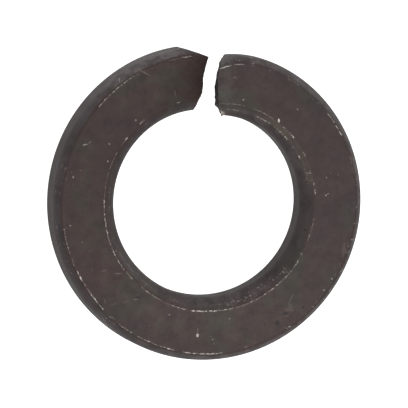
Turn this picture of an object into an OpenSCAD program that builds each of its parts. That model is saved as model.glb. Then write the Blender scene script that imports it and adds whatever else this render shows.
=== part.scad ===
// Spring lock washer: one turn of flat-sided wire, wound to a helix and sheared through at both ends.
// The bore axis is +Z, the underside starts from Z = 0 at the low end, and the gap lies at +Y.
// Seen from above, the ring climbs counter-clockwise from its low end to its high end.

/* [Ring] */
// Diameter of the bore
bore_d = 10.2; // [8.5:0.1:12.5]
// Width of the ring, from the bore to the outside
ring_w = 3.5; // [2.9:0.1:4.5]
// Thickness of the wire
thick = 2.2; // [1.8:0.1:2.6]
// Height that the ring climbs from the middle of its low end to the middle of its high end
rise = 2.95; // [2.2:0.05:3.6]

/* [Sheared ends] */
// Width of the cut seen from above, between points of the two faces at the same height in the wire
cut_w = 0.06; // [0.04:0.02:2]
// Lean of both faces, which one blade cut: going up, the cut runs back over the low end
cut_lean = 15; // [0:1:20]
// Turn of the low end's face: its outer corner reaches towards the high end
low_skew = 8; // [0:1:12]
// Length along the ring of the low end's broken outer corner
low_corner_l = 1.45; // [0.2:0.05:2]
// Width across the ring of the low end's broken outer corner
low_corner_w = 0.62; // [0.1:0.02:1.2]
// Length along the ring of the low end's broken inner corner
low_inner_l = 0.5; // [0.1:0.05:0.8]
// Width across the ring of the low end's broken inner corner
low_inner_w = 0.8; // [0.1:0.05:1.2]
// Length along the ring of the high end's broken outer corner
high_corner_l = 0.35; // [0.1:0.05:0.8]
// Width across the ring of the high end's broken outer corner
high_corner_w = 1.2; // [0.1:0.05:1.4]

/* [Edges of the wire] */
// Width of the upper outer edge's rounding, across the top face
outer_edge_w = 0.42; // [0.2:0.02:0.8]
// Depth of the upper outer edge's rounding, down the outer wall
outer_edge_h = 0.58; // [0.2:0.02:0.7]
// Width of the upper inner edge's rounding, across the top face
inner_edge_w = 0.73; // [0.2:0.01:1]
// Depth of the upper inner edge's rounding, down the bore
inner_edge_h = 0.75; // [0.2:0.01:0.8]
// Width of both lower edges' rounding, across the underside
under_edge_w = 0.26; // [0.1:0.02:0.6]
// Depth of both lower edges' rounding, up the walls
under_edge_h = 0.5; // [0.2:0.02:0.6]

/* [Hidden] */

bore_r = bore_d / 2;
outer_r = bore_r + ring_w;
mean_r = (bore_r + outer_r) / 2;

// The ring's angles run counter-clockwise from +X, so the gap is at 90 degrees
gap_a = 90;
half_cut_a = asin(cut_w / 2 / mean_r);
low_a = gap_a + half_cut_a;
high_a = gap_a + 360 - half_cut_a;
climb = rise / (high_a - low_a);

// Sections along the ring, and the stretch behind each end over which its lean is taken up
ring_steps = 90;
lean_a = 28;

// A rounded edge is an elliptical arc that meets both faces at a soft corner
edge_steps = 3;
edge_open = 20;
edge_span = cos(edge_open) - sin(edge_open);

// Stock left outside both walls for the cylinders to cut away
stock = 0.05;
tall = 2 * (rise + thick);
clear = 1;
wall_fn = 180;

// A corner's cut runs on past the end's face, and stops halfway up to the other end
past_face = 0.6;
between_ends = max(0.2, (rise - thick) / 2);

// Unit arc from [1, 0] on a wall to [0, 1] on a face; x is the share of the width, y of the depth
edge_arc = [
    for (i = [0:edge_steps])
        let (t = edge_open + (90 - 2 * edge_open) * i / edge_steps)
        [(cos(t) - sin(edge_open)) / edge_span, (sin(t) - sin(edge_open)) / edge_span]
];

// How far the arc's steepest stretch runs down the wall for each unit of width
edge_slope = (edge_arc[1][1] - edge_arc[0][1]) / (edge_arc[0][0] - edge_arc[1][0]);

// One rounded edge, from the stock outside the wall to the face. side is 1 at the outside and -1 at
// the bore, and up is 1 at the top and -1 at the underside.
function edge(wall_r, face_z, w, h, side, up) = concat(
    [[wall_r + side * stock, face_z - up * (h + stock * edge_slope * h / w)]],
    [for (k = [1:edge_steps])
        [wall_r - side * w * (1 - edge_arc[k][0]), face_z - up * h * (1 - edge_arc[k][1])]]
);

function reversed(list) = [for (i = [len(list) - 1:-1:0]) list[i]];

// Section of the wire as [radius, height], counter-clockwise from the lower outer edge
section = concat(
    reversed(edge(outer_r, 0, under_edge_w, under_edge_h, 1, -1)),
    edge(outer_r, thick, outer_edge_w, outer_edge_h, 1, 1),
    reversed(edge(bore_r, thick, inner_edge_w, inner_edge_h, -1, 1)),
    edge(bore_r, 0, under_edge_w, under_edge_h, -1, -1)
);
corners = len(section);

// Angle, clockwise, from an end's middle to a point of its face
function face_a(p, skew) =
    (tan(skew) * (p[0] - mean_r) - tan(cut_lean) * (p[1] - thick / 2)) / p[0] * 180 / PI;

// Share of an end's lean that is left at a distance behind that end
function lean_share(distance_a) = max(0, 1 - distance_a / lean_a);

// A section point carried round the ring and up the helix
function on_ring(p, a) =
    let (
        low = lean_share(a - low_a) * face_a(p, low_skew),
        high = lean_share(high_a - a) * face_a(p, 0),
        t = a - low - high
    )
    [p[0] * cos(t), p[0] * sin(t), p[1] + climb * (t - low_a)];

ring_points = [
    for (k = [0:ring_steps])
        let (a = low_a + (high_a - low_a) * k / ring_steps)
        for (p = section) on_ring(p, a)
];
lowest_z = min([for (i = [0:corners - 1]) ring_points[i][2]]);

// Each side of the section sweeps a strip of triangles, and a fan closes each end
ring_faces = concat(
    [for (k = [0:ring_steps - 1], i = [0:corners - 1], half = [0, 1])
        let (
            j = (i + 1) % corners,
            a = k * corners + i,
            b = k * corners + j,
            c = b + corners,
            d = a + corners
        )
        half == 0 ? [a, b, c] : [a, c, d]],
    [for (i = [1:corners - 2]) [0, i + 1, i]],
    [for (i = [1:corners - 2]) [0, i, i + 1] + ring_steps * corners * [1, 1, 1]]
);

// The wound wire, before its walls are true
module coil() {
    translate([0, 0, -lowest_z])
        polyhedron(points = ring_points, faces = ring_faces, convexity = 6);
}

// Wedge that breaks an end's corner: side is 1 at the low end and -1 at the high end, out is 1 at the
// outer wall and -1 at the bore, and the wedge stands between the heights from and to
module corner_cut(a, side, out, l, w, from, to) {
    wall_r = out > 0 ? outer_r : bore_r;
    far_r = wall_r + out * clear;
    rotate([0, 0, a - gap_a])
        translate([0, 0, from])
            linear_extrude(height = to - from)
                polygon([
                    [-side * l, wall_r],
                    [-side * l, far_r],
                    [side * past_face, far_r],
                    [side * past_face, wall_r - out * w * (1 + past_face / l)]
                ]);
}

// The washer: the coil with true cylinders for its outer wall and its bore, and its corners broken
module lock_washer() {
    low_top = thick + between_ends;
    color([0.30, 0.27, 0.26])
    difference() {
        intersection() {
            coil();
            translate([0, 0, -clear])
                cylinder(r = outer_r, h = tall + clear, $fn = wall_fn);
        }
        translate([0, 0, -2 * clear])
            cylinder(r = bore_r, h = tall + 4 * clear, $fn = wall_fn);
        corner_cut(low_a, 1, 1, low_corner_l, low_corner_w, -clear, low_top);
        corner_cut(low_a, 1, -1, low_inner_l, low_inner_w, -clear, low_top);
        corner_cut(high_a, -1, 1, high_corner_l, high_corner_w, rise - between_ends, tall);
    }
}

lock_washer();
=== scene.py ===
"""Spring lock washer: one turn of oxide-black steel wire, wound to a helix and sheared through.

The bore axis is +Z and the gap lies at +Y. The wire is modelled from its plain section: each of its
points is known by how far it lies across the wire, along the wire and up the wire, in millimetres.
"""
import functools
import math
import operator
from types import SimpleNamespace

import bmesh
import bpy
import numpy as np
from mathutils import Matrix, Vector, noise


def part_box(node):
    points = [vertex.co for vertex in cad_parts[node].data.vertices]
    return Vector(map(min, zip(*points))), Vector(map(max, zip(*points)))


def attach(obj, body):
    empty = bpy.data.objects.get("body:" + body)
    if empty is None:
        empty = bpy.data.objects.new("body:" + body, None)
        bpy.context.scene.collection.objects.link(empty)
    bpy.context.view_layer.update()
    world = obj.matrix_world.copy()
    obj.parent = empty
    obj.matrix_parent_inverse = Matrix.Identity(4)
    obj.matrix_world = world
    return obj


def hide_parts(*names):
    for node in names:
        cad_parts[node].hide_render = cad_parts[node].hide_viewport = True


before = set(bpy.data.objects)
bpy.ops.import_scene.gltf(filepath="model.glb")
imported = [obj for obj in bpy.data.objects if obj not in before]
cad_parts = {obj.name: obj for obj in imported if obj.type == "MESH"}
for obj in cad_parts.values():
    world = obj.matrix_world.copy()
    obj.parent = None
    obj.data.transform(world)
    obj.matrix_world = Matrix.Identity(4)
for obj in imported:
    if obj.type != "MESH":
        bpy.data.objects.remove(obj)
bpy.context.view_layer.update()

MM = 0.001
NODE = "lock_washer"

# ---------------------------------------------------------------- sizes, in millimetres and degrees

BOX_LOW, BOX_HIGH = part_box(NODE)
OUTER_R = BOX_HIGH.x / MM
WIRE_W = 3.5
WIRE_T = 2.2
BORE_R = OUTER_R - WIRE_W
MEAN_R = (BORE_R + OUTER_R) / 2
RISE = 2.95

# The gap's line, in degrees counter-clockwise from +X, and the turn from the low end to the high end
GAP_TURN = 90.0
WIRE_TURN = 359.5
START_TURN = GAP_TURN + (360.0 - WIRE_TURN) / 2
WIRE_LENGTH = math.radians(WIRE_TURN) * MEAN_R

# Rounded edges: (width across the face, depth down the wall)
OUTER_EDGE = (0.42, 0.58)
INNER_EDGE = (0.73, 0.75)
UNDER_EDGE = (0.26, 0.50)
# Angles left open where a rounded edge meets the top face or the underside, and where it meets a wall
FACE_OPEN = math.radians(20)
WALL_OPEN = math.radians(6)

# Cells of the section: in each rounded edge, across the faces and up the walls
EDGE_CELLS = 5
FACE_CELLS = 24
WALL_CELLS = 8
# Steps that wind the wire, and the rings that each step is then cut into
WIND_STEPS = 40
RING_CUTS = 13
# How much closer the rings stand at the ends than midway
RING_BIAS = 0.6


def blend(a, b, share):
    """The value that lies at a share of the way from a to b."""
    return a + (b - a) * share


def ease(value, low, high):
    """Rises smoothly from 0 at low to 1 at high."""
    share = min(max((value - low) / (high - low), 0.0), 1.0)
    return share * share * (3 - 2 * share)


# ---------------------------------------------------------------- the wire's section


def rounded(out, up):
    """Carries a point of an edge's unit square onto its quarter round, with a soft corner at the face."""
    if out <= 0 or up <= 0:
        return out, up
    share = math.atan2(up, out) / (math.pi / 2)
    turn = blend(WALL_OPEN, math.pi / 2 - FACE_OPEN, share)
    reach = max(out, up)
    return (
        reach * (math.cos(turn) - math.sin(FACE_OPEN)) / (math.cos(WALL_OPEN) - math.sin(FACE_OPEN)),
        reach * (math.sin(turn) - math.sin(WALL_OPEN)) / (math.cos(FACE_OPEN) - math.sin(WALL_OPEN)),
    )


def cell_place(cell, middle_cells):
    """(-1, 0 or 1 for the low edge, the middle or the high edge; how far into it, from 0 to 1)."""
    if cell < EDGE_CELLS:
        return -1, (EDGE_CELLS - cell) / EDGE_CELLS
    if cell > EDGE_CELLS + middle_cells:
        return 1, (cell - EDGE_CELLS - middle_cells) / EDGE_CELLS
    share = (cell - EDGE_CELLS) / middle_cells
    # Cells lie closer beside the edges, where the face turns down
    return 0, blend(share, (1 - math.cos(math.pi * share)) / 2, 0.5)


def section_point(across_cell, up_cell, outer_edge):
    """A grid point of the section as (radius, height), with the upper outer edge of the size given."""
    side, out = cell_place(across_cell, FACE_CELLS)
    level, up = cell_place(up_cell, WALL_CELLS)
    rise_share = {-1: 0.0, 0: up, 1: 1.0}[level]
    wide_share = {-1: 0.0, 0: out, 1: 1.0}[side]
    inner_w = blend(UNDER_EDGE[0], INNER_EDGE[0], rise_share)
    outer_w = blend(UNDER_EDGE[0], outer_edge[0], rise_share)
    upper_h = blend(INNER_EDGE[1], outer_edge[1], wide_share)
    out_rounded, up_rounded = rounded(out, up) if side and level else (out, up)
    radius = {
        -1: BORE_R + inner_w * (1 - out_rounded),
        0: blend(BORE_R + inner_w, OUTER_R - outer_w, out_rounded),
        1: OUTER_R - outer_w * (1 - out_rounded),
    }[side]
    height = {
        -1: UNDER_EDGE[1] * (1 - up_rounded),
        0: blend(UNDER_EDGE[1], WIRE_T - upper_h, up_rounded),
        1: WIRE_T - upper_h * (1 - up_rounded),
    }[level]
    return radius, height


# ---------------------------------------------------------------- the sheared ends

# Each end's upper edge seen from above: (radius, reach clockwise past the gap's line)
LOW_EDGE = [(5.1, -0.84), (6.0, -0.34), (7.0, -0.33), (8.1, -0.07), (8.6, 0.0)]
HIGH_EDGE = [
    (5.1, 0.05), (5.38, -0.06), (5.52, -0.24), (6.0, -0.29), (6.8, -0.33), (7.3, -0.37), (7.9, -0.24),
    (8.6, 0.17),
]
# The low end's outer corner is broken off along an upright plane: (radius, reach), as above
LOW_BREAK = [(7.6, 1.36), (8.1, -0.07), (8.6, -1.5)]
# Lean of the faces, as tangents: going up, both run back towards the low end, and the high end's face
# leans most near its outer side
LOW_LEAN = math.tan(math.radians(17))
HIGH_LEAN = [(5.1, 0.20), (6.6, 0.215), (7.3, 0.273), (7.9, 0.268), (8.6, 0.25)]
# How far behind an end its shape has died away
END_FADE = 3.4
# Torn, upright grooves of the sheared faces, with a finer grain over them: (across, up, place in the noise)
TEAR_DEPTH = 0.05
TEAR_GROOVES = (4.3, 0.7, 3.1)
TEAR_GRAIN = (11.0, 6.0, 8.4)
GRAIN_SHARE = 0.5
# How far off in the tearing the high end's pattern is read, so that the faces differ
OTHER_TEAR = 9.0

# The high end's outer corner was rolled down by the blade over this length
ROLL_LENGTH = 2.2
ROLLED_EDGE = (0.72, 0.90)
# How far the outer wall was drawn in there, at its foot and at its top, and how deep the pull reaches
ROLL_PULL = (0.22, 0.17)
ROLL_DEPTH = 0.9


def profile(points, radius):
    """Height of a broken line at a radius."""
    return float(np.interp(radius, *zip(*points)))


def torn(radius, height):
    """Depth of the tearing at a point of a sheared face."""
    grooves, grain = (
        noise.noise(Vector((radius * across, height * up, place)))
        for across, up, place in (TEAR_GROOVES, TEAR_GRAIN)
    )
    return TEAR_DEPTH * (grooves + GRAIN_SHARE * grain)


def low_reach(radius, height):
    """Reach of the low end's face past the gap's line, clockwise."""
    face = profile(LOW_EDGE, radius) + LOW_LEAN * (WIRE_T - height)
    return min(face, profile(LOW_BREAK, radius)) + torn(radius, height)


def high_reach(radius, height):
    """Reach of the high end's face past the gap's line, clockwise."""
    face = profile(HIGH_EDGE, radius) + profile(HIGH_LEAN, radius) * (WIRE_T - height)
    return face + torn(radius + OTHER_TEAR, height)


def roll_share(behind):
    """How much of the roll is left at a distance behind the high end."""
    return max(0.0, 1 - behind / ROLL_LENGTH) ** 2


# Slow wander of the wire's upper edges, which no tool has trued, and each edge's place in the noise
WANDER = 0.05
WANDER_LENGTH = 2.6
OUTER_WANDER = 1.7
INNER_WANDER = 9.2
# The inner edge's wander starts this far from the bore, ends this far from it, and reaches this far down
WANDER_FROM = 0.4
WANDER_TO = 1.9
WANDER_DOWN = 1.0


@functools.lru_cache(maxsize=None)
def wander(along, place):
    """Sideways wander of an edge at a place along the wire."""
    turn = 2 * math.pi * along / WIRE_LENGTH
    ring = WIRE_LENGTH / (2 * math.pi * WANDER_LENGTH)
    return WANDER * noise.noise(Vector((ring * math.cos(turn), ring * math.sin(turn), place)))


def shaped(across_cell, up_cell, along):
    """Place of a grid point of the finished wire as (radius, turn from +X, height in the wire)."""
    behind_low = along
    behind_high = WIRE_LENGTH - along
    rolled = roll_share(behind_high)
    outer_edge = [
        blend(OUTER_EDGE[0], ROLLED_EDGE[0], rolled) + wander(along, OUTER_WANDER),
        blend(OUTER_EDGE[1], ROLLED_EDGE[1], rolled),
    ]
    radius, height = section_point(across_cell, up_cell, outer_edge)
    wall_share = ease(radius, OUTER_R - ROLL_DEPTH, OUTER_R)
    radius -= blend(*ROLL_PULL, height / WIRE_T) * rolled * wall_share
    inner_share = ease(radius, BORE_R + WANDER_TO, BORE_R + INNER_EDGE[0])
    inner_share *= ease(radius, BORE_R, BORE_R + WANDER_FROM)
    radius += wander(along, INNER_WANDER) * inner_share * ease(height, WIRE_T - WANDER_DOWN, WIRE_T)

    half_gap = math.radians(START_TURN - GAP_TURN) * radius
    shift = 0.0
    if behind_low < END_FADE:
        shift = (low_reach(radius, height) + half_gap) * (1 - ease(behind_low, 0.0, END_FADE))
    if behind_high < END_FADE:
        shift = (high_reach(radius, height) - half_gap) * (1 - ease(behind_high, 0.0, END_FADE))
    turn = START_TURN + math.degrees(along / MEAN_R - shift / radius)
    return radius, turn, height


def ring_place(radius, turn, height):
    """A point of the wire in the washer, wound up its helix."""
    angle = math.radians(turn)
    climb = RISE * (turn - START_TURN) / WIRE_TURN
    return Vector((radius * math.cos(angle), radius * math.sin(angle), height + climb))


# ---------------------------------------------------------------- the mesh

# Rounding of the sheared faces' rims, and how sharply a rim turns
RIM_ROUND = 0.02
SHARP = math.radians(50)
# The burr's middle as (radius, reach clockwise past the gap's line, height in the wire), and its half
# sizes along the wire, towards the bore and up
BURR_PLACE = (BORE_R + 0.18, 0.03, 1.86)
BURR_SIZE = (0.26, 0.28, 0.36)
# How far it was dragged out, how far it leans out over the gap and up for each unit towards the bore, and
# how bluntly it ends
BURR_REACH = 0.2
BURR_OUT = 0.2
BURR_UP = 0.8
BURR_BLUNT = 0.7
# Its raggedness: the least share of the reach, what the noise adds, and the noise's scale
BURR_LEAST = 0.75
BURR_RAG = 0.6
BURR_RAG_SCALE = 9.0


def wind_wire(mesh):
    """Winds a flat grid into the coil, shapes it, and marks where each point lies in the plain wire.

    The mark is (millimetres from the bore, along the wire from the high end, up the wire).
    """
    columns = 2 * EDGE_CELLS + FACE_CELLS
    rows = 2 * EDGE_CELLS + WALL_CELLS
    bmesh.ops.create_grid(mesh, x_segments=columns, y_segments=rows, size=1)
    cells = mesh.verts.layers.float_vector.new("cells")
    wire = mesh.verts.layers.float_vector.new("wire")
    start = Matrix.Rotation(math.radians(START_TURN), 4, "Z")
    for vert in mesh.verts:
        across_cell = round((vert.co.x + 1) / 2 * columns)
        up_cell = round((vert.co.y + 1) / 2 * rows)
        vert[cells] = (across_cell, up_cell, 0)
        radius, height = section_point(across_cell, up_cell, OUTER_EDGE)
        vert.co = start @ Vector((radius, 0, height))
    bmesh.ops.spin(
        mesh,
        geom=mesh.verts[:] + mesh.edges[:] + mesh.faces[:],
        cent=(0, 0, 0),
        axis=(0, 0, 1),
        dvec=(0, 0, RISE / WIND_STEPS),
        angle=math.radians(WIRE_TURN),
        steps=WIND_STEPS,
        use_duplicate=False,
    )
    lengthwise = [edge for edge in mesh.edges if edge.verts[0][cells] == edge.verts[1][cells]]
    bmesh.ops.subdivide_edges(mesh, edges=lengthwise, cuts=RING_CUTS)
    for vert in mesh.verts:
        turn = math.degrees(math.atan2(vert.co.y, vert.co.x)) - START_TURN
        share = ((turn + 1e-3) % 360) / WIRE_TURN
        share -= RING_BIAS * math.sin(2 * math.pi * share) / (2 * math.pi)
        along = WIRE_LENGTH * min(max(share, 0.0), 1.0)
        across_cell, up_cell = (round(cell) for cell in vert[cells][:2])
        radius, height = section_point(across_cell, up_cell, OUTER_EDGE)
        vert[wire] = (radius - BORE_R, WIRE_LENGTH - along, height)
        vert.co = ring_place(*shaped(across_cell, up_cell, along))
    bmesh.ops.recalc_face_normals(mesh, faces=mesh.faces)
    mesh.verts.layers.float_vector.remove(cells)


def round_rims(mesh):
    """Rounds the rims of both sheared faces."""
    rims = [edge for edge in mesh.edges if edge.calc_face_angle(0) > SHARP]
    bmesh.ops.bevel(
        mesh,
        geom=rims,
        offset=RIM_ROUND,
        affect="EDGES",
        segments=2,
        profile=0.5,
        material=-1,
        clamp_overlap=True,
    )


def raise_burr(mesh):
    """Drags out the ragged burr that the blade left at the high end's inner corner."""
    radius, reach, height = BURR_PLACE
    turn = GAP_TURN + 360 - math.degrees(reach / radius)
    centre = ring_place(radius, turn, height)
    inward = -Vector((centre.x, centre.y, 0)).normalized()
    along = Vector((0, 0, 1)).cross(inward)
    for vert in mesh.verts:
        offset = vert.co - centre
        if offset.length > 1:
            continue
        sides = (offset.dot(along), offset.dot(inward), offset.z)
        distance = math.sqrt(sum((side / size) ** 2 for side, size in zip(sides, BURR_SIZE)))
        pull = BURR_REACH * max(0.0, 1 - distance) ** BURR_BLUNT
        ragged = BURR_LEAST + BURR_RAG * noise.noise(vert.co * BURR_RAG_SCALE)
        vert.co += (inward - along * BURR_OUT + Vector((0, 0, BURR_UP))) * pull * ragged


def washer_piece():
    """The washer as one closed mesh, as tall as its CAD node."""
    mesh = bmesh.new()
    wind_wire(mesh)
    round_rims(mesh)
    raise_burr(mesh)
    lowest = min(vert.co.z for vert in mesh.verts)
    highest = max(vert.co.z for vert in mesh.verts)
    fit = (BOX_HIGH.z - BOX_LOW.z) / (highest - lowest)
    bmesh.ops.translate(mesh, vec=(0, 0, BOX_LOW.z / fit - lowest), verts=mesh.verts)
    bmesh.ops.scale(mesh, vec=(MM, MM, fit), verts=mesh.verts)
    data = bpy.data.meshes.new("washer")
    mesh.to_mesh(data)
    mesh.free()
    for polygon in data.polygons:
        polygon.use_smooth = True
    piece = bpy.data.objects.new("washer", data)
    bpy.context.scene.collection.objects.link(piece)
    return piece


# ---------------------------------------------------------------- finishes


class Wired:
    """A shader socket that sums can be written on: each one adds its Math node."""

    def __init__(self, tree, socket=None):
        self.tree = tree
        self.socket = socket

    def node(self, kind, settings=None, values=None, output=0):
        """Adds a node, with its settings, then the values or links of its sockets."""
        made = self.tree.nodes.new(kind)
        for name, value in (settings or {}).items():
            if name == "stops":
                set_stops(made.color_ramp, value)
            else:
                setattr(made, name, value)
        for name, value in (values or {}).items():
            if isinstance(value, Wired):
                self.tree.links.new(value.socket, made.inputs[name])
            else:
                made.inputs[name].default_value = value
        return Wired(self.tree, made.outputs[output])

    def math(self, operation, *values):
        return self.node("ShaderNodeMath", {"operation": operation}, dict(enumerate(values)))

    def __add__(self, other):
        return self.math("ADD", self, other)

    __radd__ = __add__

    def __sub__(self, other):
        return self.math("SUBTRACT", self, other)

    def __rsub__(self, other):
        return self.math("SUBTRACT", other, self)

    def __mul__(self, other):
        return self.math("MULTIPLY", self, other)

    __rmul__ = __mul__

    def __or__(self, other):
        return self.math("MAXIMUM", self, other)

    def ease(self, low, high, bottom=0.0, top=1.0):
        """Rises smoothly from bottom, where the value is low, to top, where it is high."""
        span = {"From Min": low, "From Max": high, "To Min": bottom, "To Max": top}
        settings = {"interpolation_type": "SMOOTHSTEP", "clamp": False}
        return self.node("ShaderNodeMapRange", settings, {"Value": self, **span})

    def ramp(self, stops):
        """Passes a value from 0 to 1 through a ramp of (place, level or colour) stops."""
        return self.node("ShaderNodeValToRGB", {"stops": stops}, {"Fac": self})

    def runs(self, runs):
        """Passes degrees round, as a share, through steps raised over each (start, end, level) run."""
        stops = [(0.0, 0.0)]
        for start, end, level in runs:
            if stops[-1][0] == start / 360:
                stops.pop()
            stops += [(start / 360, level), (end / 360, 0.0)]
        stepped = self.ramp(stops)
        stepped.socket.node.color_ramp.interpolation = "CONSTANT"
        return stepped

    def stretched(self, scale):
        return self.node("ShaderNodeMapping", {"vector_type": "POINT"}, {"Vector": self, "Scale": scale})

    def turned(self, degrees):
        values = {"Vector": self, "Rotation": (0, 0, math.radians(degrees))}
        return self.node("ShaderNodeMapping", {"vector_type": "POINT"}, values)

    def grain(self, scale, detail=2.0, roughness=0.5):
        """Fine noise over this vector."""
        values = {"Vector": self, "Scale": scale, "Detail": detail, "Roughness": roughness}
        return self.node("ShaderNodeTexNoise", None, values, "Fac")

    def distance(self, point):
        settings = {"operation": "DISTANCE"}
        return self.node("ShaderNodeVectorMath", settings, {0: self, 1: point}, "Value")

    def tinted(self, colour, share):
        """Mixes a share of another colour into this one."""
        return self.node("ShaderNodeMix", {"data_type": "RGBA"}, {0: share, 6: self, 7: colour}, 2)


def set_stops(ramp, stops):
    """Gives a colour ramp its (place, level or colour) stops."""
    while len(ramp.elements) < len(stops):
        ramp.elements.new(1.0)
    for element, (place, level) in zip(ramp.elements, stops):
        element.position = place
        element.color = (*level, 1) if hasattr(level, "__len__") else (level, level, level, 1)


def new_finish(name):
    """A new material: its node tree and its shader."""
    material = bpy.data.materials.new(name)
    material.use_nodes = True
    shader = material.node_tree.nodes["Principled BSDF"]
    return material, Wired(material.node_tree), shader


# Places round the washer are given in degrees clockwise from the gap, and widths in millimetres
DEGREE = WIRE_LENGTH / 360

# Nicks through the oxide: (degrees round, millimetres from the bore, width, strength)
NICKS = [
    (12.7, 1.06, 0.13, 0.85),
    (18.4, 3.30, 0.10, 0.7),
    (38.1, 1.99, 0.12, 0.75),
    (74.0, 1.49, 0.10, 0.85),
    (74.1, 2.20, 0.08, 0.6),
    (72.6, 1.77, 0.08, 0.45),
    (82.0, 1.45, 0.10, 0.95),
    (82.7, 1.35, 0.10, 0.95),
    (100.9, 2.10, 0.09, 0.4),
    (118.4, 2.93, 0.12, 0.95),
    (123.9, 2.93, 0.11, 0.85),
    (166.9, 1.24, 0.10, 0.85),
    (168.1, 2.28, 0.07, 0.45),
    (175.3, 2.55, 0.09, 0.5),
    (175.9, 2.27, 0.10, 0.8),
    (176.5, 2.13, 0.07, 0.8),
    (197.9, 1.27, 0.13, 0.7),
    (204.4, 2.30, 0.10, 0.5),
    (239.8, 2.30, 0.10, 0.35),
    (247.9, 1.98, 0.10, 0.35),
    (252.7, 2.22, 0.10, 0.5),
    (260.6, 2.70, 0.09, 0.9),
    (280.2, 2.66, 0.13, 0.8),
    (281.9, 2.80, 0.07, 0.6),
    (283.7, 2.35, 0.10, 0.5),
    (291.8, 1.00, 0.12, 0.95),
    (299.7, 1.38, 0.12, 0.95),
    (317.6, 1.05, 0.15, 0.8),
]
# How strongly a nick shows, and the shares of its half width where it starts to fade and has faded
NICK_STRENGTH = 0.68
NICK_FADE = (0.5, 1.2)

# Long marks: (degrees round, millimetres from the bore, length, width, slant from radial, strength)
SCRATCHES = [
    (7.4, 2.24, 0.22, 0.09, 90, 0.35),
    (34.0, 0.83, 0.29, 0.15, -55, 0.9),
    (115.4, 0.70, 0.22, 0.10, 60, 0.4),
    (182.6, 2.07, 0.25, 0.16, 8, 0.78),
    (2.0, 2.93, 0.58, 0.07, 76, 0.85),
    (7.0, 3.04, 0.50, 0.07, 88, 0.6),
    (69.0, 0.55, 0.50, 0.055, 30, 0.6),
    (69.2, 0.57, 0.42, 0.05, -42, 0.5),
    (106.0, 2.84, 0.90, 0.24, 75, 0.17),
    (106.4, 3.02, 0.40, 0.18, 15, 0.18),
    (136.0, 1.85, 0.66, 0.12, 65, 0.2),
    (138.2, 2.12, 0.50, 0.28, 20, 0.17),
    (139.6, 2.30, 0.56, 0.2, -45, 0.17),
    (141.8, 2.50, 0.34, 0.14, -60, 0.15),
    (182.7, 1.78, 0.30, 0.06, 0, 0.4),
    (216.4, 1.43, 0.28, 0.06, 50, 0.5),
    (219.4, 1.90, 0.42, 0.06, 50, 0.22),
    (222.6, 2.45, 0.36, 0.07, 35, 0.22),
    (226.5, 2.70, 0.36, 0.07, -65, 0.24),
    (231.7, 1.15, 0.46, 0.08, 38, 0.32),
    (237.0, 1.75, 0.42, 0.09, 17, 0.22),
    (294.3, 2.62, 0.34, 0.07, -38, 0.65),
    (296.0, 2.42, 0.18, 0.06, -60, 0.4),
    (322.8, 3.33, 0.30, 0.06, 40, 0.6),
    (332.6, 2.95, 0.90, 0.055, -32, 0.4),
    (343.7, 1.25, 0.40, 0.05, 0, 0.34),
    (345.2, 0.71, 0.42, 0.055, 89, 0.65),
]

# Dark stains and pits, written as the long marks above
STAINS = [
    (89.8, 2.70, 0.32, 0.10, 50, 0.5),
    (102.0, 0.45, 0.18, 0.16, 0, 0.6),
    (126.5, 1.90, 0.40, 0.20, 70, 0.35),
    (134.6, 2.70, 0.24, 0.16, 80, 0.8),
    (141.9, 2.32, 0.32, 0.20, -50, 0.8),
    (147.0, 2.52, 0.30, 0.24, 0, 0.85),
    (152.0, 2.20, 0.18, 0.12, 0, 0.5),
    (216.0, 1.28, 0.42, 0.17, 62, 0.75),
    (331.0, 2.75, 0.60, 0.40, 85, 0.4),
    (353.6, 0.78, 0.09, 0.08, 0, 0.7),
    (271.0, 3.30, 0.60, 0.40, 80, 0.25),
    (289.5, 3.30, 0.70, 0.40, 90, 0.2),
    (258.0, 3.25, 0.90, 0.30, 90, 0.35),
]

# The shares of a long mark's half size where it starts to fade and has faded
MARK_FADE = (0.6, 1.2)

# Runs of wear along the wire's edges: (from, to, strength), in degrees round
OUTER_RUNS = [
    (26, 32, 0.4), (49, 53, 0.75), (53.5, 58, 0.8), (68, 71, 0.5), (171, 187, 0.9), (190, 206, 0.65),
    (209, 216, 0.6), (223, 242, 0.85), (244, 247, 0.5), (248, 259, 0.7), (309, 329, 0.6), (344, 349, 0.45),
    (349.5, 353, 0.8),
]
INNER_RUNS = [
    (0, 14, 0.45), (18, 30, 0.55), (37, 46, 0.75), (55, 58, 0.65), (74, 81, 0.75), (94, 107, 0.5),
    (119, 148, 0.7), (148, 171, 0.6), (171, 186, 1.6), (188, 217, 0.6), (223, 256, 0.75), (257, 271, 0.75),
    (271, 298, 0.4), (302, 307, 0.6), (317, 322, 0.75),
]
KNEE_RUNS = [
    (4, 14, 1.2), (21, 30, 1.6), (31, 44, 1.6), (50, 59, 1.1), (66, 73, 0.6), (127, 136, 0.5),
    (141, 146, 0.5), (149, 165, 0.8), (170, 187, 0.55), (195, 201, 0.5), (212, 240, 0.6), (262, 283, 0.5),
]
# Zones of loose flecks beside the inner and the outer line
INNER_FLECKS = [
    (0, 24, 0.3), (29, 60, 0.4), (66, 74, 0.7), (126, 137, 0.9), (140, 147, 0.9), (148, 166, 1.0),
    (166, 210, 0.4), (214, 242, 0.6), (296, 324, 0.3),
]
OUTER_FLECKS = [
    (0, 12, 0.8), (12, 58, 0.4), (66, 90, 0.6), (93, 100, 1.0), (101, 132, 1.0), (134, 147, 1.0),
    (154, 163, 0.7), (170, 190, 0.4), (214, 222, 0.8), (240, 264, 0.6), (272, 284, 0.6), (318, 340, 0.5),
]

# Where the knee line lies: millimetres inside the inner line, and below the top face
KNEE_IN = 0.30
KNEE_DOWN = 0.17
# Half width of the worn lines, how strongly they and the flecks show, and how far the places along them
# stray, as a share of the turn
LINE_REACH = 0.058
LINE_STRENGTH = 1.35
FLECK_STRENGTH = 0.75
RUN_STRAY = 0.016

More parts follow.
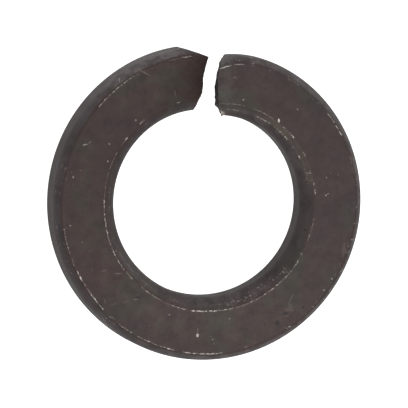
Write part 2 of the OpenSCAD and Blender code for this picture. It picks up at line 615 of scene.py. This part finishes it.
# Slow changes of tone round the ring: (share of the turn from the high end, level or colour)
# Painted shade: how much the top face is darkened round the ring, lightest round the bottom, standing in
# for how the light falls on it
PAINTED_SHADE_ROUND = [
    (0.0, 0.25), (0.08, 0.4), (0.25, 0.42), (0.36, 0.25), (0.42, 0.08), (0.6, 0.02), (0.66, 0.24),
    (0.8, 0.34), (0.86, 0.4), (0.9, 0.15), (1.0, 0.3),
]
# How much darker the top face is painted towards its outer edge, round the ring
RIM_DARKENING = [
    (0.0, 0.0), (0.06, 0.14), (0.16, 0.14), (0.2, 0.0), (0.34, 0.1), (0.46, 0.12), (0.52, 0.3),
    (0.62, 0.28), (0.7, 0.1), (1.0, 0.0),
]
WARMTH = [
    (0.0, (1, 1, 1)), (0.55, (1, 1, 1)), (0.64, (1, 0.88, 0.9)), (0.86, (0.98, 0.9, 0.92)),
    (0.93, (0.98, 0.95, 0.94)), (0.97, (0.97, 0.89, 0.86)), (1.0, (0.97, 0.89, 0.86)),
]
# Painted highlight with rubbed pale patches on the outer rounded edge and wall, standing in for light
# falling there: how strongly it shows round the ring
OUTER_PALE_AND_HIGHLIGHT = [
    (0.0, 0.42), (0.05, 0.36), (0.14, 0.3), (0.2, 0.42), (0.25, 0.42), (0.33, 0.3), (0.41, 0.46),
    (0.53, 0.36), (0.62, 0.16), (0.68, 0.02), (0.8, 0.08), (0.86, 0.22), (0.9, 0.75), (0.97, 0.95),
    (1.0, 0.6),
]
INNER_PALE = [
    (0.0, 0.15), (0.07, 0.26), (0.15, 0.26), (0.2, 0.08), (0.36, 0.05), (0.42, 0.22), (0.47, 0.32),
    (0.54, 0.2), (0.6, 0.1), (0.7, 0.02), (0.78, 0.03), (0.85, 0.1), (0.92, 0.12), (1.0, 0.16),
]
RUBBED_BAND = [(0.05, 0.0), (0.08, 0.8), (0.2, 1.0), (0.22, 0.0), (1.0, 0.0)]

# Oxide colours, from the top face's to the stains'
BROWN = (0.099, 0.060, 0.054, 1)
GREEN = (0.083, 0.071, 0.053, 1)
PURPLE = (0.092, 0.064, 0.070, 1)
LIGHT = (0.130, 0.094, 0.084, 1)
# Pale for rubbed oxide, and for the painted highlight on the outer edge
PALE_AND_HIGHLIGHT = (0.21, 0.175, 0.175, 1)
GREY = (0.070, 0.064, 0.063, 1)
# The dark char colour, also used to paint shade round the ring
CHAR_AND_SHADE = (0.042, 0.030, 0.028, 1)
SLATE = (0.088, 0.083, 0.098, 1)
PLUM = (0.058, 0.042, 0.050, 1)
STRAW = (0.17, 0.14, 0.10, 1)
MOSS = (0.13, 0.136, 0.118, 1)
STAIN = (0.03, 0.024, 0.023, 1)
# Worn oxide, and the bare steel under it
TAN = (0.30, 0.245, 0.22, 1)
BARE = (0.95, 0.91, 0.86, 1)
# The sheared faces, near black with dark oxide and painted shade, and their grooves and grit
TORN_AND_SHADE = (0.025, 0.022, 0.021, 1)
GROOVE = (0.085, 0.074, 0.070, 1)
GRIT = (0.16, 0.14, 0.125, 1)

# Handling left hairlines in two directions, in degrees, stretched along their length
HAIRLINE_TURNS = (38, -64)
HAIRLINE_SCALE = (600, 16000, 600)

# How ragged the worn patches' outlines are, in millimetres, and the scale of the raggedness
RAG = 0.06
RAG_SCALE = 6.0

BUMP_STRENGTH = 0.3
BUMP_DEPTH = 0.02 * MM
STEEL_IOR = 1.48


def line_from(start, across, up):
    """Distance in the section from a line that runs along the wire."""
    section = start.node("ShaderNodeCombineXYZ", None, {0: across, 1: up})
    return section.node("ShaderNodeVectorMath", {"operation": "LENGTH"}, {0: section}, "Value")


def nick(wire, degrees, from_bore, width, strength):
    """A small bright spot in the top face."""
    away = wire.distance((from_bore, degrees * DEGREE, WIRE_T))
    low, high = (width / 2 * share for share in NICK_FADE)
    return away.ease(low, high, strength * NICK_STRENGTH, 0.0)


def mark(wire, degrees, from_bore, length, width, slant, strength):
    """A long mark in the top face."""
    settings = {"vector_type": "TEXTURE"}
    values = {
        "Vector": wire,
        "Location": (from_bore, degrees * DEGREE, WIRE_T),
        "Rotation": (0, 0, math.radians(slant)),
        "Scale": (length / 2, width / 2, 1),
    }
    inside = wire.node("ShaderNodeMapping", settings, values)
    reach = inside.node("ShaderNodeVectorMath", {"operation": "LENGTH"}, {0: inside}, "Value")
    return reach.ease(*MARK_FADE, strength, 0.0)


def strongest(values):
    """The largest of many values, each added to the tree just before it is compared."""
    return functools.reduce(operator.or_, values)


def wear(wire, across, along, up):
    """Where the oxide has worn through: broken lines along the edges, flecks, nicks and scratches."""
    round_share = along * (1 / WIRE_LENGTH) + (wire.grain(1.6, 3, 0.7) - 0.5) * RUN_STRAY
    broken = wire.stretched((3.0, 3.4, 3.0)).grain(1.0, 5, 0.85).ease(0.34, 0.54)
    peaks = wire.stretched((12.0, 6.5, 12.0)).grain(1.0, 3, 0.7).ease(0.44, 0.62, 0.42, 1.2)
    flecks = wire.stretched((9.0, 4.0, 9.0)).grain(1.0, 4, 0.75).ease(0.57, 0.66)
    outer_line = line_from(wire, across - (WIRE_W - OUTER_EDGE[0]), up - WIRE_T)
    inner_line = line_from(wire, across - INNER_EDGE[0], up - WIRE_T)
    knee_line = line_from(wire, across - (INNER_EDGE[0] - KNEE_IN), up - (WIRE_T - KNEE_DOWN))
    lines = strongest(
        (1 - line.ease(0.0, LINE_REACH)) * round_share.runs(runs)
        for line, runs in ((outer_line, OUTER_RUNS), (inner_line, INNER_RUNS), (knee_line, KNEE_RUNS))
    )
    loose = (1 - knee_line.ease(0.2, 0.34)) * round_share.runs(INNER_FLECKS)
    loose = loose | (across.ease(2.86, 3.05) * up.ease(0.9, 1.7) * round_share.runs(OUTER_FLECKS))
    nicks = strongest(nick(wire, *row) for row in NICKS)
    scratches = strongest(mark(wire, *row) for row in SCRATCHES)
    return lines * broken * peaks * LINE_STRENGTH | loose * flecks * FLECK_STRENGTH | nicks | scratches


def surface_fields(start):
    """What the finish is mixed from: where a point lies in the wire, and noises from coarse to fine."""
    place = start.node("ShaderNodeTexCoord", output="Object")
    wire = start.node("ShaderNodeAttribute", {"attribute_name": "wire"}, output="Vector")
    across, along, up = (start.node("ShaderNodeSeparateXYZ", None, {0: wire}, axis) for axis in "XYZ")
    return SimpleNamespace(
        place=place,
        wire=wire,
        across=across,
        along=along,
        up=up,
        round_share=along * (1 / WIRE_LENGTH),
        clouds=place.grain(380, 3, 0.6),
        patches=place.grain(820, 3, 0.65),
        blotches=place.grain(1500, 4, 0.65),
        speckle=place.grain(7000, 2, 0.6),
        streaks=wire.stretched((7.0, 0.35, 7.0)).grain(1.0, 3, 0.6),
    )


def clouded(start, at):
    """The oxide of the top face: brown, greenish and purple clouds with darker blotches, painted shade
    round the ring, and darker towards the outer edge in places.
    """
    oxides = {0: at.clouds.ease(0.48, 0.6), 6: BROWN, 7: GREEN}
    base = start.node("ShaderNodeMix", {"data_type": "RGBA"}, oxides, 2)
    base = base.tinted(PURPLE, at.patches.ease(0.5, 0.66) * 0.6)
    base = base.tinted(LIGHT, at.blotches.ease(0.5, 0.68) * 0.55)
    base = base.tinted(CHAR_AND_SHADE, at.blotches.ease(0.52, 0.32) * 0.5)
    base = base.tinted(CHAR_AND_SHADE, at.speckle.ease(0.58, 0.8) * 0.25)
    # Painted shade round the ring, in the dark char colour
    base = base.tinted(CHAR_AND_SHADE, at.round_share.ramp(PAINTED_SHADE_ROUND))
    base = base.tinted(CHAR_AND_SHADE, at.across.ease(2.0, 2.9) * at.round_share.ramp(RIM_DARKENING))
    warmth = at.round_share.ramp(WARMTH)
    return base.node("ShaderNodeVectorMath", {"operation": "MULTIPLY"}, {0: base, 1: warmth}, "Vector")


def walled(base, at):
    """Greyer rounded edges and walls, rubbed pale in places with painted highlight along the outer edge,
    and the marks that lie beside them.
    """
    walls = at.up.ease(WIRE_T - 0.1, WIRE_T - 0.02, 0.6, 0.0)
    base = base.tinted(GREY, walls * at.patches.ease(0.35, 0.6, 1.0, 0.5))
    outer_pale_and_highlight = at.across.ease(2.9, 3.2) * at.round_share.ramp(OUTER_PALE_AND_HIGHLIGHT)
    inner_pale = at.across.ease(0.8, 0.4) * at.round_share.ramp(INNER_PALE)
    # Painted highlight and rubbed pale patches on the outer edge and wall, and rubbed pale on the inner
    # edge
    pale = walls * (outer_pale_and_highlight + inner_pale) * at.blotches.ease(0.36, 0.62, 0.7, 2.7)
    base = base.tinted(PALE_AND_HIGHLIGHT, pale)
    mottle = at.wire.stretched((1.8, 0.9, 1.8)).grain(1.0, 3, 0.6)
    slate = mottle.ease(0.46, 0.7) * at.across.ease(2.6, 3.0, 0.12, 1.0)
    base = base.tinted(SLATE, walls * slate)
    base = base.tinted(PLUM, walls * mottle.ease(0.5, 0.32) * 0.8)
    base = base.tinted(CHAR_AND_SHADE, at.streaks.ease(0.55, 0.8) * 0.35)
    rubbed = (1 - at.across.ease(0.68, 0.78)) * at.across.ease(0.38, 0.46)
    rubbed = rubbed * at.round_share.ramp(RUBBED_BAND)
    base = base.tinted(STRAW, rubbed * at.patches.ease(0.35, 0.6, 0.1, 0.6))
    high_end = at.along.ease(1.4, 0.2) * at.up.ease(WIRE_T - 0.4, WIRE_T) * at.blotches.ease(0.35, 0.6)
    return base.tinted(MOSS, high_end * 0.45)


def hairlined(base, at):
    """Faint hairlines left by handling."""
    hairlines = strongest(
        at.place.turned(turn).stretched(HAIRLINE_SCALE).grain(1.0, 2, 0.5).ease(0.66, 0.76)
        for turn in HAIRLINE_TURNS
    )
    return base.tinted(LIGHT, hairlines * 0.28)


def ragged_wire(wire):
    """The place in the wire, shaken a little by noise."""
    noise_values = {"Vector": wire, "Scale": RAG_SCALE, "Detail": 3.0}
    shaken = wire.node("ShaderNodeTexNoise", None, noise_values, "Color")
    spread = {0: shaken, 1: (2 * RAG,) * 3, 2: wire}
    ragged = wire.node("ShaderNodeVectorMath", {"operation": "MULTIPLY_ADD"}, spread, "Vector")
    return ragged.node("ShaderNodeVectorMath", {"operation": "SUBTRACT"}, {0: ragged, 1: (RAG,) * 3})


def sheared(base, at):
    """Dark, rough sheared faces, their dark oxide deepened with painted shade, apart from where the blade
    rolled and burnished the high end's corner.
    """
    behind = at.along.math("MINIMUM", at.along, WIRE_LENGTH - at.along)
    rolled = at.along.ease(0.5, 1.0, 1.0, 0.0) * at.across.ease(2.2, 2.55)
    bare_face = (1 - behind.ease(0.0, 0.02)) * (1 - rolled)
    grooves = at.wire.stretched((5.0, 1.0, 0.9)).grain(1.0, 4, 0.7)
    grit = at.wire.grain(6.0, 4, 0.75)
    # Dark oxide and painted shade: the sheared faces are painted near black
    base = base.tinted(TORN_AND_SHADE, bare_face * 0.9)
    base = base.tinted(GROOVE, bare_face * grooves.ease(0.5, 0.72) * 0.7)
    return base.tinted(GRIT, bare_face * grit.ease(0.6, 0.74) * 0.8)


def dark_oxide():
    """Worn black oxide on spring steel: brown and greenish clouds, bright edges, nicks and torn ends."""
    material, start, shader = new_finish("dark oxide steel")
    at = surface_fields(start)
    base = clouded(start, at)
    base = walled(base, at)
    base = hairlined(base, at)

    ragged = ragged_wire(at.wire)
    ragged_across, ragged_up = (
        start.node("ShaderNodeSeparateXYZ", None, {0: ragged}, axis) for axis in "XZ"
    )
    base = base.tinted(STAIN, strongest(mark(ragged, *row) for row in STAINS))
    worn = wear(ragged, ragged_across, at.along, ragged_up)
    burr = ragged.distance((BURR_PLACE[0] - BORE_R, BURR_PLACE[1], BURR_PLACE[2]))
    worn = worn | ((1 - burr.ease(0.17, 0.38)) * at.blotches.ease(0.35, 0.55, 0.5, 0.88))
    base = base.tinted(TAN, worn.ease(0.0, 0.5) * 0.75)
    base = base.tinted(BARE, worn.ease(0.4, 1.0) * 0.9)
    base = sheared(base, at)

    tree = start.tree
    tree.links.new(base.socket, shader.inputs["Base Color"])
    rough = (at.patches * 0.2 + 0.34) + at.speckle * 0.1
    tree.links.new(rough.socket, shader.inputs["Roughness"])
    tree.links.new((worn * 0.4).socket, shader.inputs["Metallic"])
    height = at.speckle * 0.3 + at.blotches * 0.5 + at.streaks * 0.2
    relief = {"Strength": BUMP_STRENGTH, "Distance": BUMP_DEPTH, "Height": height}
    tree.links.new(start.node("ShaderNodeBump", None, relief, "Normal").socket, shader.inputs["Normal"])
    shader.inputs["IOR"].default_value = STEEL_IOR
    return material


def matt_floor(name, shade, glow):
    """A matt grey that also glows evenly, which hides its horizon."""
    material, _, shader = new_finish(name)
    shader.inputs["Base Color"].default_value = (shade, shade, shade, 1)
    shader.inputs["Roughness"].default_value = 0.9
    shader.inputs["Emission Color"].default_value = (1, 1, 1, 1)
    shader.inputs["Emission Strength"].default_value = glow
    return material


# ---------------------------------------------------------------- studio


FLOOR_RADIUS = 1.2
FLOOR_SIDES = 96
# The camera sees the pale floor, and the steel is lit by the dimmer one: (name, finish, shade, glow)
FLOORS = [("floor", "pale floor", 0.86, 0.9), ("bounce", "grey bounce", 0.6, 0.22)]
# Soft lights: (name, place in metres, size in metres, power in watts)
LIGHTS = [("overhead", (0.04, -0.12, 0.5), 0.32, 0.46), ("side", (0.42, 0.22, 0.2), 0.25, 0.30)]
WORLD_LIGHT = 0.4


def add_floors():
    """Two floors in one place, each seen by different rays."""
    mesh = bmesh.new()
    bmesh.ops.create_circle(mesh, cap_ends=True, segments=FLOOR_SIDES, radius=FLOOR_RADIUS)
    bmesh.ops.translate(mesh, vec=(0, 0, BOX_LOW.z), verts=mesh.verts)
    data = bpy.data.meshes.new("floor")
    mesh.to_mesh(data)
    mesh.free()
    for name, finish, shade, glow in FLOORS:
        surface = bpy.data.objects.new(name, data.copy())
        surface.data.materials.append(matt_floor(finish, shade, glow))
        bpy.context.scene.collection.objects.link(surface)
        surface.visible_camera = name == "floor"
        surface.visible_glossy = name == "bounce"
        surface.visible_diffuse = name == "bounce"
        surface.visible_shadow = False


def add_light(name, place, size, power):
    """A soft square light that looks at the washer."""
    light = bpy.data.lights.new(name, "AREA")
    light.shape = "SQUARE"
    light.size = size
    light.energy = power
    lamp = bpy.data.objects.new(name, light)
    lamp.location = place
    lamp.rotation_euler = Vector(place).to_track_quat("Z", "Y").to_euler()
    bpy.context.scene.collection.objects.link(lamp)


def add_studio():
    """Even light from all round, and the soft lights."""
    world = bpy.data.worlds.new("studio")
    bpy.context.scene.world = world
    world.use_nodes = True
    background = world.node_tree.nodes["Background"]
    background.inputs["Color"].default_value = (1, 1, 1, 1)
    background.inputs["Strength"].default_value = WORLD_LIGHT
    for light in LIGHTS:
        add_light(*light)
    bpy.context.scene.view_settings.view_transform = "Standard"


# The camera looks almost down the bore axis, tipped towards -X and a little towards +Y
TILT_X = 0.1142
TILT_Y = 0.2859
CAMERA_ROLL = math.radians(1.1)
CAMERA_DISTANCE = 0.4503
CAMERA_LENS = 721.5
CAMERA_NEAR = 0.01
AIM_HEIGHT = 2.468 * MM
AIM_RIGHT = 0.0245 * MM
AIM_DOWN = 0.0258 * MM


def add_camera():
    """The camera, aimed at a point on the bore axis and then moved aside by a hair."""
    turn = Matrix.Rotation(CAMERA_ROLL, 3, "Z")
    right = turn @ Vector(
        (math.cos(TILT_Y), math.sin(TILT_X) * math.sin(TILT_Y), math.cos(TILT_X) * math.sin(TILT_Y))
    )
    above = turn @ Vector((0, math.cos(TILT_X), -math.sin(TILT_X)))
    back = right.cross(above)
    aim = Vector((0, 0, AIM_HEIGHT)) + right * AIM_RIGHT - above * AIM_DOWN
    camera = bpy.data.objects.new("camera", bpy.data.cameras.new("camera"))
    camera.data.lens = CAMERA_LENS
    camera.data.clip_start = CAMERA_NEAR
    basis = Matrix((right, above, back)).transposed().to_4x4()
    camera.matrix_world = Matrix.Translation(aim + back * CAMERA_DISTANCE) @ basis
    bpy.context.scene.collection.objects.link(camera)
    bpy.context.scene.camera = camera


# ---------------------------------------------------------------- the scene

add_camera()
washer = washer_piece()
washer.data.materials.append(dark_oxide())
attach(washer, "root")
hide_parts(NODE)
add_floors()
add_studio()
